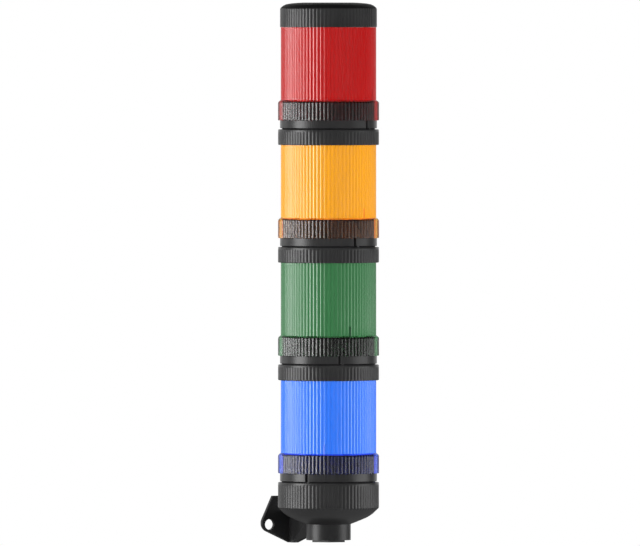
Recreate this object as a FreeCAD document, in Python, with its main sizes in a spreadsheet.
import FreeCAD, Part
import math
import os

import Sketcher

# A wall-mounted signal tower: a bracket carries a round base, and four light modules and a cap
# are stacked on it, each locked to the one below by a bayonet that turns about the tower's axis.
#
# Frame: millimetres, +Z up. The wall is the plane Y = 0 and the tower stands in front of it, on
# the -Y side. The origin lies on the wall, midway between the bracket's two screw holes.

SIZES = [
    # flutes, shared by everything that is gripped or lit
    ("flute_count", 46, "vertical flutes round the tower"),
    ("flute_depth", 0.5, "depth of a flute on a lens"),
    ("seat_gap", 0.7, "gap that shows between a neck and the ring below"),
    ("cap_gap", 0.3, "gap between the cap and the top lens"),
    ("seal_gap", 0.1, "gap left under the seal, so that a module can turn"),
    ("seal_radius", 32.4, "moulded seal under a neck or the cap"),
    # light module
    ("neck_radius", 33.6, "smooth black neck of a module"),
    ("neck_height", 5.5, "height of the neck"),
    ("cup_radius", 32.2, "faceted cup that stands inside the lens skirt"),
    ("cup_height", 12.8, "height of the cup above the neck"),
    ("cup_gap", 0.2, "gap above the cup, inside the lens"),
    ("inner_facets", 24, "facets round the cup, inside a lens and round the stub"),
    ("skirt_radius", 35.0, "ridges of the flared lens skirt"),
    ("skirt_wall", 2.1, "thickness of the skirt at its rim"),
    ("skirt_height", 11.9, "straight part of the skirt"),
    ("shoulder_height", 2.2, "slope from the skirt to the lens wall"),
    ("lens_radius", 33.1, "ridges of the lens wall"),
    ("lens_wall", 1.7, "thickness of the lens wall"),
    ("lens_height", 50.4, "straight part of the lens wall"),
    ("rib_width", 0.9, "alignment rib at the foot of the lens wall"),
    ("rib_height", 6.5, "length of the alignment rib"),
    ("rib_proud", 0.3, "how far the alignment rib stands out of the flutes"),
    ("ring_radius", 35.0, "ridges of a coupling ring"),
    ("ring_height", 10.8, "height of a coupling ring"),
    ("band_height", 1.3, "smooth band above a ring's flutes"),
    ("mark_width", 1.6, "alignment groove in the neck"),
    ("mark_depth", 0.8, "depth of the alignment groove"),
    ("tab_width", 1.5, "alignment tab on the coupling ring"),
    ("tab_height", 1.2, "how far the tab rises above the ring"),
    ("tab_wall", 0.8, "thickness of the tab"),
    ("tab_turn", 3.4, "angle from the groove to the tab"),
    # bayonet
    ("hook_count", 3, "hooks of a bayonet"),
    ("hook_angle", 14, "angle that a hook covers"),
    ("hook_radius", 27.0, "inside of a hook's stem"),
    ("stem_wall", 2.0, "thickness of a hook's stem"),
    ("toe_reach", 1.6, "how far a hook's toe stands out of its stem"),
    ("toe_height", 2.5, "height of the toe"),
    ("lip_height", 3.7, "thickness of the lip that holds a toe down"),
    ("twist_travel", 20, "angle from locked to released"),
    ("stop_angle", 0.5, "angle left between a hook and its stop"),
    ("hook_gap", 0.3, "gap round a hook"),
    # cap
    ("cap_radius", 33.6, "ridges of the cap's grip"),
    ("cap_grip_height", 12.6, "straight part of the cap"),
    ("cap_edge_radius", 32.8, "radius just above the grip"),
    ("cap_edge_height", 0.9, "rise of the edge above the grip"),
    ("cap_shoulder_radius", 29.8, "radius where the cap turns over"),
    ("cap_shoulder_height", 3.0, "rise of the cap's shoulder"),
    ("cap_crown_radius", 17.0, "radius of the flat top"),
    ("cap_height", 4.2, "rise of the whole dome"),
    # base
    ("base_radius", 35.0, "ridges of the base's rim"),
    ("rim_height", 7.5, "height of the base's fluted rim"),
    ("bowl_radius", 33.8, "top of the bowl, under the rim"),
    ("bowl_edge", 0.8, "height of the rounded edge between bowl and rim"),
    ("bowl_height", 10.8, "height of the bowl"),
    ("bowl_upper_radius", 29.0, "upper bend of the bowl"),
    ("bowl_upper_height", 6.3, "height of the upper bend"),
    ("bowl_lower_radius", 22.6, "lower bend of the bowl"),
    ("bowl_lower_height", 3.1, "height of the lower bend"),
    ("stub_radius", 10.5, "threaded stub under the base"),
    ("cable_radius", 8.0, "cable bore through the stub"),
    ("chamber_length", 42.0, "wiring chamber in the base, along X"),
    ("chamber_width", 30.0, "wiring chamber, along Y"),
    ("chamber_depth", 13.0, "wiring chamber, down from the rim"),
    # lock nut
    ("nut_radius", 13.0, "hexagonal lock nut, across its corners, halved"),
    ("nut_height", 4.4, "height of the lock nut"),
    ("nut_sunk", 3.0, "part of the nut inside the collar"),
    ("thread_gap", 0.1, "gap between stub and nut or collar"),
    # wall bracket
    ("reach", 54.0, "wall to tower axis"),
    ("plate_thickness", 2.5, "wall plate"),
    ("plate_top", 19.9, "top edge above the screw holes"),
    ("plate_top_half", 14.8, "half width of the top edge"),
    ("plate_corner_drop", 2.1, "wide corner below the screw holes"),
    ("plate_corner_half", 25.6, "half width at the wide corner"),
    ("plate_bottom", 12.7, "lowest edge below the screw holes"),
    ("plate_bottom_half", 1.6, "half width of the lowest edge"),
    ("plate_round", 6.2, "rounding of the wide corners"),
    ("screw_spacing", 35.0, "distance between the screw holes"),
    ("screw_hole_radius", 3.7, "radius of a screw hole"),
    ("collar_radius", 15.45, "outside of the collar"),
    ("collar_height", 11.0, "height of the collar"),
    ("collar_bottom", 9.6, "lower end of the collar below the screw holes"),
    ("arm_thickness", 4.0, "web between plate and collar"),
    ("arm_rise", 11.0, "top of the web at the plate, above the screw holes"),
    ("arm_foot", 8.4, "distance from the wall where the web's lower edge starts to rise"),
    ("arm_step", 14.4, "distance from the wall where the web's lower edge bends"),
    ("arm_bend", 9.5, "depth of the web's lower edge at its bend, below the screw holes"),
    ("arm_end", 2.4, "depth of the arm's lower edge inside the collar"),
    ("flare_half", 9.6, "half width of the arm where it meets the collar"),
    ("flare_root", 48.0, "distance from the wall where the arm ends inside the collar"),
    ("flare_root_half", 8.0, "half width of the arm inside the collar"),
    # inner pieces
    ("board_width", 24.0, "circuit board across"),
    ("board_thickness", 1.6, "circuit board"),
    ("board_height", 40.0, "circuit board"),
    ("lamp_size", 3.5, "one light-emitting package, square"),
    ("lamp_thickness", 1.6, "thickness of the package"),
    ("lamp_rows", 5, "packages one above another on each face"),
    ("lamp_pitch", 7.6, "distance between packages"),
    ("contact_count", 6, "contacts of a joint"),
    ("contact_radius", 9.0, "circle that the contacts lie on"),
    ("contact_width", 1.2, "one contact, along the circle"),
    ("contact_length", 3.0, "one contact, along the radius"),
    ("pad_width", 5.5, "contact pad, along the circle"),
    ("pad_thickness", 0.5, "contact pad"),
    ("recess_radius", 15.0, "contact recess in a coupling ring"),
    ("recess_depth", 3.0, "depth of the contact recess"),
    ("strip_width", 3.0, "power strip beside the circuit board"),
    ("strip_thickness", 0.8, "power strip"),
    ("strip_radius", 16.0, "distance of the power strips from the axis"),
    ("terminal_count", 5, "ways of the terminal block"),
    ("terminal_pitch", 7.0, "distance between terminals"),
    ("terminal_width", 11.0, "terminal block, across its ways"),
    ("terminal_height", 7.5, "terminal block"),
    ("terminal_screw_radius", 1.5, "terminal screw's head"),
    ("terminal_screw_height", 1.4, "terminal screw's head"),
    ("wire_hole_size", 3.0, "square wire hole of a terminal"),
    # how each joint of the stack is turned, seen from above
    ("blue_turn", -147, "bayonet of the blue module"),
    ("green_turn", -107, "bayonet of the green module"),
    ("amber_turn", -87, "bayonet of the amber module"),
    ("red_turn", -68, "bayonet of the red module"),
    ("cap_turn", -50, "bayonet of the cap"),
    ("blue_lens_turn", -125, "alignment rib of the blue lens"),
    ("green_lens_turn", -93, "alignment rib of the green lens"),
    ("amber_lens_turn", -72, "alignment rib of the amber lens"),
    ("red_lens_turn", -54, "alignment rib of the red lens"),
]

MODULES = ["blue", "green", "amber", "red"]

# Heights above a module's seat, which is the top of the ring or base below it.
SKIRT_TOP = "Sizes.neck_height + Sizes.skirt_height"
WALL_FOOT = SKIRT_TOP + " + Sizes.shoulder_height"
LENS_TOP = WALL_FOOT + " + Sizes.lens_height"
CUP_TOP = "Sizes.neck_height + Sizes.cup_height"
PITCH = "(" + LENS_TOP + " + Sizes.ring_height + Sizes.seat_gap)"
SEAL_DEPTH = "(Sizes.seat_gap - Sizes.seal_gap)"
CAP_SEAL_DEPTH = "(Sizes.cap_gap - Sizes.seal_gap)"

# Heights in the part's frame.
COLLAR_TOP = "(Sizes.collar_height - Sizes.collar_bottom)"
RIM_BOTTOM = "(" + COLLAR_TOP + " + Sizes.bowl_height)"
RIM_TOP = "(" + RIM_BOTTOM + " + Sizes.rim_height)"
FIRST_SEAT = "(" + RIM_TOP + " + Sizes.ring_height + Sizes.seat_gap)"

# Bayonet: radii of a hook, and the channel it runs in.
STEM_RADIUS = "Sizes.hook_radius + Sizes.stem_wall"
TOE_RADIUS = STEM_RADIUS + " + Sizes.toe_reach"
CHANNEL_DEPTH = "(Sizes.lip_height + Sizes.toe_height + Sizes.hook_gap)"
CHANNEL_INSIDE = "Sizes.hook_radius - Sizes.hook_gap"
CHANNEL_OUTSIDE = TOE_RADIUS + " + Sizes.hook_gap"
ENTRY_ANGLE = "Sizes.hook_angle + 2 * Sizes.stop_angle"
CHANNEL_ANGLE = ENTRY_ANGLE + " + Sizes.twist_travel"

doc = FreeCAD.newDocument("SignalTower")
nodes = []


def make_sheet():
    sheet = doc.addObject("Spreadsheet::Sheet", "Sizes")
    for row, (alias, value, meaning) in enumerate(SIZES, start=1):
        sheet.set("A%d" % row, alias)
        sheet.set("B%d" % row, str(value))
        sheet.set("C%d" % row, meaning)
        sheet.setAlias("B%d" % row, alias)
    doc.recompute()
    return sheet


sheet = make_sheet()


def size(alias):
    return float(sheet.get(alias))


# ---- helpers -------------------------------------------------------------------------------


def bind(item, **expressions):
    """Tie properties to the sheet; a double underscore in a name stands for a dot."""
    for name, expression in expressions.items():
        item.setExpression(name.replace("__", "."), expression)


def new_body(label, blank=None):
    body = doc.addObject("PartDesign::Body", label)
    body.Label = label
    if blank:
        body.BaseFeature = blank
    nodes.append(body)
    return body


def stand_on_axis(body, height, turn):
    """Put a stacked piece on the tower's axis, at a height and turned by an angle."""
    bind(body, Placement__Base__y="-Sizes.reach", Placement__Base__z=height)
    body.setExpression("Placement.Rotation.Angle", turn)


def origin_plane(body, role):
    return [item for item in body.Origin.OriginFeatures if item.Role == role][0]


def outline_sketch(body, name, role, corners):
    """A closed outline of straight lines through corners, whose coordinates are expressions."""
    sketch = body.newObject("Sketcher::SketchObject", name)
    sketch.AttachmentSupport = [(origin_plane(body, role), "")]
    sketch.MapMode = "FlatFace"
    count = len(corners)
    start = []
    for i in range(count):
        angle = 2 * math.pi * i / count
        start.append(FreeCAD.Vector(math.cos(angle), math.sin(angle), 0))
    for i in range(count):
        sketch.addGeometry(Part.LineSegment(start[i], start[(i + 1) % count]), False)
    for i in range(count):
        sketch.addConstraint(Sketcher.Constraint("Coincident", i, 2, (i + 1) % count, 1))
    for i, corner in enumerate(corners):
        for kind, axis, expression in zip(("DistanceX", "DistanceY"), (-2, -1), corner):
            if expression == "0":
                sketch.addConstraint(Sketcher.Constraint("PointOnObject", i, 1, axis))
            else:
                index = sketch.addConstraint(Sketcher.Constraint(kind, -1, 1, i, 1, 1.0))
                sketch.setExpression("Constraints[%d]" % index, expression)
    return sketch


def turned(body, kind, name, corners, angle=None, centre=None):
    """Revolve an outline about Z; with an angle, half of it lies each side of the centre."""
    sketch = outline_sketch(body, name + "_outline", "XZ_Plane", corners)
    if centre:
        sketch.AttachmentOffset = FreeCAD.Placement(
            FreeCAD.Vector(), FreeCAD.Rotation(FreeCAD.Vector(0, 1, 0), 1)
        )
        sketch.setExpression("AttachmentOffset.Rotation.Angle", centre)
    feature = body.newObject("PartDesign::" + kind, name)
    feature.Profile = sketch
    feature.ReferenceAxis = (sketch, ["V_Axis"])
    if angle:
        feature.Midplane = True
        feature.setExpression("Angle", angle)
    else:
        feature.Angle = 360
    return feature


def repeated(body, feature, count):
    """Repeat a turned feature evenly about Z."""
    pattern = body.newObject("PartDesign::PolarPattern", feature.Name + "_pattern")
    pattern.Originals = [feature]
    pattern.Axis = (feature.Profile[0], ["V_Axis"])
    pattern.Angle = 360
    pattern.setExpression("Occurrences", count)
    body.Tip = pattern
    return pattern


def rectangle(inside, outside, low, high):
    return [(inside, low), (outside, low), (outside, high), (inside, high)]


def outline_points(height, ridge, groove):
    """Corners of a level: ridges and grooves in turn, or ridges alone where groove is None."""
    count = int(size("flute_count"))
    points = []
    for i in range(2 * count):
        radius = groove if i % 2 else ridge
        angle = math.pi * i / count
        if radius is not None:
            points.append(FreeCAD.Vector(radius * math.cos(angle), radius * math.sin(angle), height))
    return points


def facet(*corners):
    return Part.Face(Part.makePolygon(list(corners) + [corners[0]]))


def level_facets(lower, upper):
    """Flat facets between two levels, either of which may be plain."""
    count = min(len(lower), len(upper))
    facets = []
    for i in range(count):
        j = (i + 1) % count
        if len(lower) == len(upper):
            facets.append(facet(lower[i], lower[j], upper[j], upper[i]))
            continue
        plain, fluted = (lower, upper) if len(lower) < len(upper) else (upper, lower)
        ridge, groove, next_ridge = fluted[2 * i], fluted[2 * i + 1], fluted[(2 * i + 2) % len(fluted)]
        facets.append(facet(ridge, groove, plain[i]))
        facets.append(facet(groove, plain[j], plain[i]))
        facets.append(facet(groove, next_ridge, plain[j]))
    return facets


def solid_blank(name, facets):
    """The solid that closed facets bound."""
    shell = Part.makeShell(facets)
    shell.sewShape()
    blank = doc.addObject("Part::Feature", name + "_blank")
    solid = Part.Solid(shell)
    solid.fix(0, 0, 0)
    blank.Shape = solid
    return blank


def fluted_blank(name, levels):
    """A solid through levels of (height, ridge radius, fluted or not).

    The flutes' depth keeps its share of the radius, so that every facet is flat.
    """
    share = 1 - size("flute_depth") / size("lens_radius")
    outlines = []
    for height, radius, fluted in levels:
        outlines.append(outline_points(height, radius, radius * share if fluted else None))
    facets = [facet(*outlines[0]), facet(*outlines[-1])]
    for lower, upper in zip(outlines, outlines[1:]):
        facets += level_facets(lower, upper)
    return solid_blank(name, facets)


def box_at(name, length, width, height, x="0", y="0", z="0"):
    """A box centred on x and y, standing on z; every argument is an expression."""
    box = doc.addObject("Part::Box", name)
    bind(box, Length=length, Width=width, Height=height)
    bind(box, Placement__Base__x="(%s) - (%s) / 2" % (x, length))
    bind(box, Placement__Base__y="(%s) - (%s) / 2" % (y, width))
    bind(box, Placement__Base__z=z)
    return box


def group_of(label, solids):
    """One node of several separate solids."""
    group = doc.addObject("Part::Compound", label)
    group.Label = label
    group.Links = solids
    nodes.append(group)
    return group


# ---- bayonet -------------------------------------------------------------------------------


def add_hooks(body, gap):
    """L-shaped hooks under a body that stands a gap above the lips they hold to."""
    toe_top = "-(Sizes.lip_height + %s)" % gap
    toe_bottom = toe_top + " - Sizes.toe_height"
    corners = [
        ("Sizes.hook_radius", "0"),
        ("Sizes.hook_radius", toe_bottom),
        (TOE_RADIUS, toe_bottom),
        (TOE_RADIUS, toe_top),
        (STEM_RADIUS, toe_top),
        (STEM_RADIUS, "0"),
    ]
    hook = turned(body, "Revolution", "hook", corners, "Sizes.hook_angle")
    doc.recompute()
    repeated(body, hook, "Sizes.hook_count")


def cut_channels(body, top):
    """Channels that take the hooks: a slot under a lip, and a wider entry at its far end."""
    floor = "%s - %s" % (top, CHANNEL_DEPTH)
    lip = "%s - Sizes.lip_height" % top
    slot_outside = STEM_RADIUS + " + Sizes.hook_gap"
    slot = [
        (CHANNEL_INSIDE, floor),
        (CHANNEL_OUTSIDE, floor),
        (CHANNEL_OUTSIDE, lip),
        (slot_outside, lip),
        (slot_outside, top),
        (CHANNEL_INSIDE, top),
    ]
    channel = turned(body, "Groove", "channel", slot, CHANNEL_ANGLE, "Sizes.twist_travel / 2")
    doc.recompute()
    repeated(body, channel, "Sizes.hook_count")
    way_in = rectangle(CHANNEL_INSIDE, CHANNEL_OUTSIDE, lip, top)
    entry = turned(body, "Groove", "entry", way_in, ENTRY_ANGLE, "Sizes.twist_travel")
    doc.recompute()
    repeated(body, entry, "Sizes.hook_count")


# ---- light modules -------------------------------------------------------------------------


def seat_height(index):
    return "%s + %d * %s" % (FIRST_SEAT, index, PITCH)


def add_seal(body, depth):
    """Seal moulded under a neck or the cap."""
    seal = body.newObject("PartDesign::AdditivePrism", "seal")
    bind(seal, Polygon="Sizes.inner_facets", Circumradius="Sizes.seal_radius")
    bind(seal, Height=depth, Placement__Base__z="-" + depth)


def make_module_body(colour, index):
    """Neck, cup inside the lens skirt, seal, and hooks that lock it to the ring below."""
    neck = [(0, size("neck_radius"), False), (size("neck_height"), size("neck_radius"), False)]
    body = new_body(colour + "_module_body", fluted_blank(colour + "_neck", neck))
    add_seal(body, SEAL_DEPTH)
    cup = body.newObject("PartDesign::AdditivePrism", "cup")
    bind(cup, Polygon="Sizes.inner_facets", Circumradius="Sizes.cup_radius")
    bind(cup, Height="Sizes.cup_height", Placement__Base__z="Sizes.neck_height")
    doc.recompute()
    add_hooks(body, "Sizes.seat_gap")
    corners = rectangle(
        "Sizes.neck_radius - Sizes.mark_depth", "Sizes.neck_radius + Sizes.mark_depth",
        "0", "Sizes.neck_height",
    )
    mark_angle = "Sizes.mark_width / Sizes.neck_radius * 180 / pi"
    turned(body, "Groove", "mark", corners, mark_angle)
    stand_on_axis(body, seat_height(index), "Sizes.%s_turn" % colour)


def add_cap_ledges(body):
    """Ledges inside the top lens that hold the cap's hooks, with a stop at each end."""
    top = "(%s)" % LENS_TOP
    wall = "Sizes.lens_radius - Sizes.lens_wall + Sizes.hook_gap"
    inside = STEM_RADIUS + " + Sizes.hook_gap"
    low = "%s - %s" % (top, CHANNEL_DEPTH)
    ledge_angle = "Sizes.twist_travel"
    ledge_centre = "Sizes.twist_travel / 2 - (%s) / 2 + Sizes.cap_turn - Sizes.red_lens_turn" % ENTRY_ANGLE
    ledge = turned(
        body, "Revolution", "ledge",
        rectangle(inside, wall, top + " - Sizes.lip_height", top), ledge_angle, ledge_centre,
    )
    doc.recompute()
    repeated(body, ledge, "Sizes.hook_count")
    half_stop = "Sizes.stem_wall"
    stop_sides = (
        "-(%s) / 2 - %s / 2" % (ENTRY_ANGLE, half_stop),
        "Sizes.twist_travel + (%s) / 2 + %s / 2" % (ENTRY_ANGLE, half_stop),
    )
    for name, side in zip(("locked_stop", "open_stop"), stop_sides):
        stop = turned(
            body, "Revolution", name, rectangle(inside, wall, low, top), half_stop,
            side + " + Sizes.cap_turn - Sizes.red_lens_turn",
        )
        doc.recompute()
        repeated(body, stop, "Sizes.hook_count")


def make_lens(colour, index):
    """Fluted lens with a flared skirt that sits on the module's neck."""
    foot = size("neck_height")
    skirt_top = foot + size("skirt_height")
    wall_foot = skirt_top + size("shoulder_height")
    levels = [
        (foot, size("skirt_radius"), True),
        (skirt_top, size("skirt_radius"), True),
        (wall_foot, size("lens_radius"), True),
        (wall_foot + size("lens_height"), size("lens_radius"), True),
    ]
    body = new_body(colour + "_lens", fluted_blank(colour + "_lens", levels))
    facets = "Sizes.inner_facets"
    skirt_bore = body.newObject("PartDesign::SubtractivePrism", "skirt_bore")
    bind(skirt_bore, Polygon=facets, Circumradius="Sizes.skirt_radius - Sizes.skirt_wall")
    bind(skirt_bore, Height="Sizes.cup_height + Sizes.cup_gap")
    bind(skirt_bore, Placement__Base__z="Sizes.neck_height")
    wall_bore = body.newObject("PartDesign::SubtractivePrism", "wall_bore")
    bind(wall_bore, Polygon=facets, Circumradius="Sizes.lens_radius - Sizes.lens_wall")
    bind(wall_bore, Height=LENS_TOP)
    doc.recompute()
    rib = rectangle(
        "Sizes.lens_radius - Sizes.lens_wall / 2", "Sizes.lens_radius + Sizes.rib_proud",
        WALL_FOOT, WALL_FOOT + " + Sizes.rib_height",
    )
    turned(body, "Revolution", "rib", rib, "Sizes.rib_width / Sizes.lens_radius * 180 / pi")
    if colour == MODULES[-1]:
        doc.recompute()
        add_cap_ledges(body)
    stand_on_axis(body, seat_height(index), "Sizes.%s_lens_turn" % colour)


def make_coupling_ring(label, height, turn):
    """Knurled ring with bayonet channels and a contact recess in its top."""
    radius = size("ring_radius")
    height_of_flutes = size("ring_height") - size("band_height")
    levels = [(0, radius, True), (height_of_flutes, radius, True), (size("ring_height"), radius, False)]
    body = new_body(label, fluted_blank(label, levels))
    recess = body.newObject("PartDesign::SubtractivePrism", "recess")
    bind(recess, Polygon="Sizes.inner_facets / 2", Circumradius="Sizes.recess_radius")
    bind(recess, Height="Sizes.recess_depth")
    bind(recess, Placement__Base__z="Sizes.ring_height - Sizes.recess_depth")
    doc.recompute()
    cut_channels(body, "Sizes.ring_height")
    inside = "Sizes.neck_radius + Sizes.hook_gap"
    tab = rectangle(
        inside, inside + " + Sizes.tab_wall",
        "Sizes.ring_height - Sizes.tab_height", "Sizes.ring_height + Sizes.tab_height",
    )
    turned(body, "Revolution", "tab", tab, "Sizes.tab_width / Sizes.neck_radius * 180 / pi", "Sizes.tab_turn")
    stand_on_axis(body, height, turn)


def spokes(name, length, width, height, turn, foot):
    """Boxes laid out like spokes on the contact circle; every argument is an expression."""
    boxes = []
    for i in range(int(size("contact_count"))):
        box = doc.addObject("Part::Box", "%s_%d" % (name, i))
        bind(box, Length=length, Width=width, Height=height)
        step = "(%s + 360 / Sizes.contact_count * %d)" % (turn, i)
        along = "(Sizes.contact_radius - (%s) / 2)" % length
        half = "(%s) / 2" % width
        bind(box, Placement__Base__x="cos(%s) * %s + sin(%s) * %s" % (step, along, step, half))
        across = "sin(%s) * %s - cos(%s) * %s" % (step, along, step, half)
        bind(box, Placement__Base__y=across + " - Sizes.reach", Placement__Base__z=foot)
        box.setExpression("Placement.Rotation.Angle", step)
        boxes.append(box)
    return boxes


def make_contact_pads(label, foot, turn):
    """Flat pads in a ring's recess, centred under the middle of the blades' travel."""
    middle = "%s + Sizes.twist_travel / 2" % turn
    pads = spokes(
        label, "Sizes.contact_length", "Sizes.pad_width", "Sizes.pad_thickness", middle, foot
    )
    group_of(label, pads)


def make_contact_springs(colour, index):
    """Blades under the module that press on the pads below."""
    drop = "(Sizes.recess_depth + Sizes.seat_gap - Sizes.pad_thickness - Sizes.hook_gap)"
    foot = "%s - %s" % (seat_height(index), drop)
    turn = "Sizes.%s_turn" % colour
    label = colour + "_contact_springs"
    height = "%s - %s" % (drop, SEAL_DEPTH)
    group_of(label, spokes(label, "Sizes.contact_length", "Sizes.contact_width", height, turn, foot))


def make_light_engine(colour, index):
    """Circuit board on the cup, light packages on both faces, and power strips to the ring."""
    floor = "%s + %s" % (seat_height(index), CUP_TOP)
    board = box_at(
        colour + "_led_board", "Sizes.board_width", "Sizes.board_thickness", "Sizes.board_height",
        y="-Sizes.reach", z=floor,
    )
    nodes.append(board)
    lamps = []
    rows = int(size("lamp_rows"))
    for face in (-1, 1):
        depth = "-Sizes.reach + %d * (Sizes.board_thickness + Sizes.lamp_thickness) / 2" % face
        for row in range(rows):
            middle = "%s + Sizes.board_height / 2 + (%d - (Sizes.lamp_rows - 1) / 2) * Sizes.lamp_pitch"
            lamps.append(box_at(
                "%s_lamp_%d_%d" % (colour, face, row), "Sizes.lamp_size", "Sizes.lamp_thickness",
                "Sizes.lamp_size", y=depth, z=middle % (floor, row) + " - Sizes.lamp_size / 2",
            ))
    group_of(colour + "_leds", lamps)
    strips = []
    for side in (-1, 1):
        strips.append(box_at(
            "%s_strip_%d" % (colour, side), "Sizes.strip_thickness", "Sizes.strip_width",
            "%s - (%s)" % (LENS_TOP, CUP_TOP), x="%d * Sizes.strip_radius" % side,
            y="-Sizes.reach", z=floor,
        ))
    group_of(colour + "_power_strips", strips)


# ---- cap -----------------------------------------------------------------------------------


def make_cap():
    grip = size("cap_grip_height")
    levels = [
        (0, size("cap_radius"), True),
        (grip, size("cap_radius"), True),
        (grip + size("cap_edge_height"), size("cap_edge_radius"), False),
        (grip + size("cap_shoulder_height"), size("cap_shoulder_radius"), False),
        (grip + size("cap_height"), size("cap_crown_radius"), False),
    ]
    body = new_body("top_cap", fluted_blank("top_cap", levels))
    add_seal(body, CAP_SEAL_DEPTH)
    doc.recompute()
    add_hooks(body, "Sizes.cap_gap")
    top_module = len(MODULES) - 1
    seat = "%s + %s + Sizes.cap_gap" % (seat_height(top_module), LENS_TOP)
    stand_on_axis(body, seat, "Sizes.cap_turn")


# ---- base ----------------------------------------------------------------------------------


def make_base_housing():
    """Fluted rim on a bowl, with a hollow stub below and a wiring chamber above."""
    foot = size("bowl_height")
    levels = [
        (0, size("collar_radius"), False),
        (size("bowl_lower_height"), size("bowl_lower_radius"), False),
        (size("bowl_upper_height"), size("bowl_upper_radius"), False),
        (foot - size("bowl_edge"), size("bowl_radius"), False),
        (foot, size("base_radius"), True),
        (foot + size("rim_height"), size("base_radius"), True),
    ]
    body = new_body("base_housing", fluted_blank("base_housing", levels))
    stub_length = "(Sizes.collar_height + Sizes.nut_height - Sizes.nut_sunk)"
    doc.recompute()
    stub = body.newObject("PartDesign::AdditivePrism", "stub")
    bind(stub, Polygon="Sizes.inner_facets", Circumradius="Sizes.stub_radius")
    bind(stub, Height=stub_length, Placement__Base__z="-" + stub_length)
    top = "(Sizes.bowl_height + Sizes.rim_height)"
    cable = body.newObject("PartDesign::SubtractiveCylinder", "cable_bore")
    bind(cable, Radius="Sizes.cable_radius", Height="%s + %s" % (stub_length, top))
    bind(cable, Placement__Base__z="-" + stub_length)
    chamber = body.newObject("PartDesign::SubtractiveBox", "chamber")
    bind(chamber, Length="Sizes.chamber_length", Width="Sizes.chamber_width")
    bind(chamber, Height="Sizes.chamber_depth")
    bind(chamber, Placement__Base__x="-Sizes.chamber_length / 2")
    bind(chamber, Placement__Base__y="-Sizes.chamber_width / 2")
    bind(chamber, Placement__Base__z=top + " - Sizes.chamber_depth")
    bind(body, Placement__Base__y="-Sizes.reach", Placement__Base__z=COLLAR_TOP)


def make_terminals():
    """Terminal block on the chamber's floor beside the cable bore, and its screws."""
    floor = "%s - Sizes.chamber_depth" % RIM_TOP
    length = "Sizes.terminal_count * Sizes.terminal_pitch"
    middle = "-Sizes.reach + (Sizes.chamber_width - Sizes.terminal_width) / 2"
    block = box_at("terminal_block_body", length, "Sizes.terminal_width", "Sizes.terminal_height",
                   y=middle, z=floor)
    count = int(size("terminal_count"))
    holes = []
    screws = []
    for i in range(count):
        along = "(%d - (Sizes.terminal_count - 1) / 2) * Sizes.terminal_pitch" % i
        holes.append(box_at(
            "wire_hole_%d" % i, "Sizes.wire_hole_size", "Sizes.terminal_width", "Sizes.wire_hole_size",
            x=along, y=middle + " - Sizes.terminal_width / 2",
            z=floor + " + Sizes.wire_hole_size / 2",
        ))
        screw = doc.addObject("Part::Prism", "terminal_screw_%d" % i)
        bind(screw, Polygon="Sizes.inner_facets / 4", Circumradius="Sizes.terminal_screw_radius")
        bind(screw, Height="Sizes.terminal_screw_height")
        bind(screw, Placement__Base__x=along, Placement__Base__y=middle)
        bind(screw, Placement__Base__z=floor + " + Sizes.terminal_height")
        screws.append(screw)
    drilled = doc.addObject("Part::Compound", "wire_holes")
    drilled.Links = holes
    cut = doc.addObject("Part::Cut", "terminal_block")
    cut.Label = "terminal_block"
    cut.Base = block
    cut.Tool = drilled
    nodes.append(cut)
    group_of("terminal_screws", screws)


def make_lock_nut():
    """Hexagonal nut on the stub, half sunk in the collar."""
    body = new_body("lock_nut")
    hexagon = body.newObject("PartDesign::AdditivePrism", "hexagon")
    bind(hexagon, Circumradius="Sizes.nut_radius", Height="Sizes.nut_height")
    doc.recompute()
    thread = body.newObject("PartDesign::SubtractivePrism", "thread")
    bind(thread, Polygon="Sizes.inner_facets", Circumradius="Sizes.stub_radius + Sizes.thread_gap")
    bind(thread, Height="Sizes.nut_height")
    bind(body, Placement__Base__y="-Sizes.reach")
    bind(body, Placement__Base__z="-Sizes.collar_bottom - Sizes.nut_height + Sizes.nut_sunk")


# ---- wall bracket --------------------------------------------------------------------------


def edges_along_y(shape, half_width, drop):
    """Names of a plate's edges that run away from the wall at its two wide corners."""
    names = []
    for number, edge in enumerate(shape.Edges, start=1):
        box = edge.BoundBox
        upright = box.YLength > 10 * (box.XLength + box.ZLength + 1e-6)
        at_corner = abs(abs(box.Center.x) - half_width) < 0.01 and abs(box.Center.z + drop) < 0.01
        if upright and at_corner:
            names.append("Edge%d" % number)
    return names


def arm_blank():
    """Arm that widens from the web to the collar, with a keel below, as one faceted solid."""
    foot = -size("arm_foot")
    end = size("collar_radius") - size("reach")
    root = -size("flare_root")
    collar_top = size("collar_height") - size("collar_bottom")
    slope = (collar_top - size("arm_rise")) / end
    web = size("arm_thickness") / 2
    web_top = size("arm_rise") + slope * foot
    keel_foot = FreeCAD.Vector(0, foot, -size("arm_bend"))
    keel_root = FreeCAD.Vector(0, root, -size("arm_end"))
    sides = []
    for side in (-1, 1):
        sides.append([
            FreeCAD.Vector(side * web, foot, web_top),
            FreeCAD.Vector(side * size("flare_half"), end, collar_top),
            FreeCAD.Vector(side * size("flare_root_half"), root, collar_top),
            FreeCAD.Vector(side * web, foot, -size("plate_bottom")),
        ])
    facets = []
    for top, widest, inside, low in sides:
        facets.append(facet(top, widest, low))
        facets.append(facet(low, widest, keel_root))
        facets.append(facet(widest, inside, keel_root))
        facets.append(facet(low, keel_root, keel_foot))
    left, right = sides
    facets.append(facet(left[0], right[0], right[1], left[1]))
    facets.append(facet(left[1], right[1], right[2], left[2]))
    facets.append(facet(left[2], right[2], keel_root))
    facets.append(facet(left[0], right[0], right[3], keel_foot, left[3]))
    return solid_blank("arm", facets)


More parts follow.
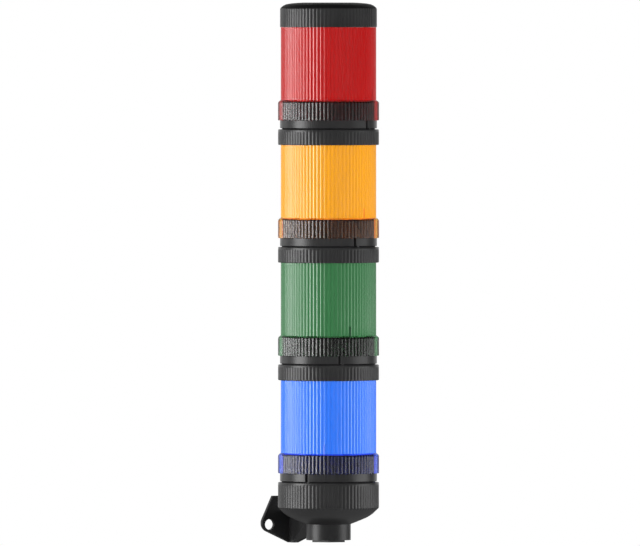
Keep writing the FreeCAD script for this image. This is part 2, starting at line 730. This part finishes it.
def make_bracket():
    """One moulding: shield-shaped wall plate, web, arm and collar."""
    body = new_body("wall_bracket", arm_blank())
    right = [
        ("Sizes.plate_top_half", "Sizes.plate_top"),
        ("Sizes.plate_corner_half", "-Sizes.plate_corner_drop"),
        ("Sizes.plate_bottom_half", "-Sizes.plate_bottom"),
    ]
    left = [("-" + x, z) for x, z in reversed(right)]
    shield = outline_sketch(body, "shield", "XZ_Plane", right + left)
    plate = body.newObject("PartDesign::Pad", "plate")
    plate.Profile = shield
    bind(plate, Length="Sizes.plate_thickness")
    doc.recompute()
    rounded = body.newObject("PartDesign::Fillet", "rounded_corners")
    corners = edges_along_y(plate.Shape, size("plate_corner_half"), size("plate_corner_drop"))
    rounded.Base = (plate, corners)
    bind(rounded, Radius="Sizes.plate_round")
    doc.recompute()
    holes = body.newObject("Sketcher::SketchObject", "hole_circles")
    holes.AttachmentSupport = [(origin_plane(body, "XZ_Plane"), "")]
    holes.MapMode = "FlatFace"
    for side in (-1, 1):
        centre = FreeCAD.Vector(side * size("screw_spacing") / 2, 0, 0)
        circle = holes.addGeometry(
            Part.Circle(centre, FreeCAD.Vector(0, 0, 1), size("screw_hole_radius")), False
        )
        holes.addConstraint(Sketcher.Constraint("PointOnObject", circle, 3, -1))
        across = holes.addConstraint(Sketcher.Constraint("DistanceX", -1, 1, circle, 3, centre.x))
        holes.setExpression("Constraints[%d]" % across, "%d * Sizes.screw_spacing / 2" % side)
        radius = holes.addConstraint(
            Sketcher.Constraint("Radius", circle, size("screw_hole_radius"))
        )
        holes.setExpression("Constraints[%d]" % radius, "Sizes.screw_hole_radius")
    drilled = body.newObject("PartDesign::Pocket", "screw_holes")
    drilled.Profile = holes
    drilled.Type = "ThroughAll"
    drilled.Midplane = True
    doc.recompute()
    # The web's outline lies in the YZ plane: distance from the wall, then height.
    near = "-(Sizes.reach - Sizes.stub_radius - Sizes.stem_wall)"
    web_corners = [
        ("0", "-Sizes.plate_bottom"),
        ("0", "Sizes.arm_rise"),
        ("-(Sizes.reach - Sizes.collar_radius)", COLLAR_TOP),
        (near, COLLAR_TOP),
        (near, "-Sizes.arm_end"),
        ("-Sizes.arm_step", "-Sizes.arm_bend"),
        ("-Sizes.arm_foot", "-Sizes.plate_bottom"),
    ]
    web_sketch = outline_sketch(body, "web_outline", "YZ_Plane", web_corners)
    web = body.newObject("PartDesign::Pad", "web")
    web.Profile = web_sketch
    web.Midplane = True
    bind(web, Length="Sizes.arm_thickness")
    doc.recompute()
    collar = body.newObject("PartDesign::AdditiveCylinder", "collar")
    bind(collar, Radius="Sizes.collar_radius", Height="Sizes.collar_height")
    bind(collar, Placement__Base__y="-Sizes.reach", Placement__Base__z="-Sizes.collar_bottom")
    bore = body.newObject("PartDesign::SubtractivePrism", "stub_bore")
    bind(bore, Polygon="Sizes.inner_facets", Circumradius="Sizes.stub_radius + Sizes.thread_gap")
    bind(bore, Height="Sizes.collar_height")
    bind(bore, Placement__Base__y="-Sizes.reach", Placement__Base__z="-Sizes.collar_bottom")
    recess = body.newObject("PartDesign::SubtractivePrism", "nut_recess")
    clear_of_nut = "(Sizes.nut_radius + Sizes.hook_gap) / cos(180 / Sizes.inner_facets)"
    bind(recess, Polygon="Sizes.inner_facets", Circumradius=clear_of_nut, Height="Sizes.nut_sunk")
    bind(recess, Placement__Base__y="-Sizes.reach", Placement__Base__z="-Sizes.collar_bottom")


# ---- build ---------------------------------------------------------------------------------


def check_model():
    doc.recompute()
    for item in doc.Objects:
        if "Invalid" in item.State or "Error" in item.State:
            raise RuntimeError("%s failed: %s" % (item.Label, item.State))
    for node in nodes:
        if node.Shape.isNull() or not node.Shape.isValid():
            raise RuntimeError("%s has no valid shape" % node.Label)


def write_parts():
    os.makedirs("parts", exist_ok=True)
    for node in nodes:
        node.Shape.exportStep(os.path.join("parts", node.Label + ".step"))


make_bracket()
make_lock_nut()
make_base_housing()
make_terminals()
make_coupling_ring("base_coupling_ring", RIM_TOP, "Sizes.blue_turn")
RING_FLOOR = "Sizes.ring_height - Sizes.recess_depth"
make_contact_pads("base_contact_pads", "%s + %s" % (RIM_TOP, RING_FLOOR), "Sizes.blue_turn")
for position, hue in enumerate(MODULES):
    make_module_body(hue, position)
    make_lens(hue, position)
    make_contact_springs(hue, position)
    make_light_engine(hue, position)
    if hue != MODULES[-1]:
        ring_seat = "%s + %s" % (seat_height(position), LENS_TOP)
        next_turn = "Sizes.%s_turn" % MODULES[position + 1]
        make_coupling_ring(hue + "_coupling_ring", ring_seat, next_turn)
        make_contact_pads(hue + "_contact_pads", "%s + %s" % (ring_seat, RING_FLOOR), next_turn)
make_cap()

check_model()
write_parts()
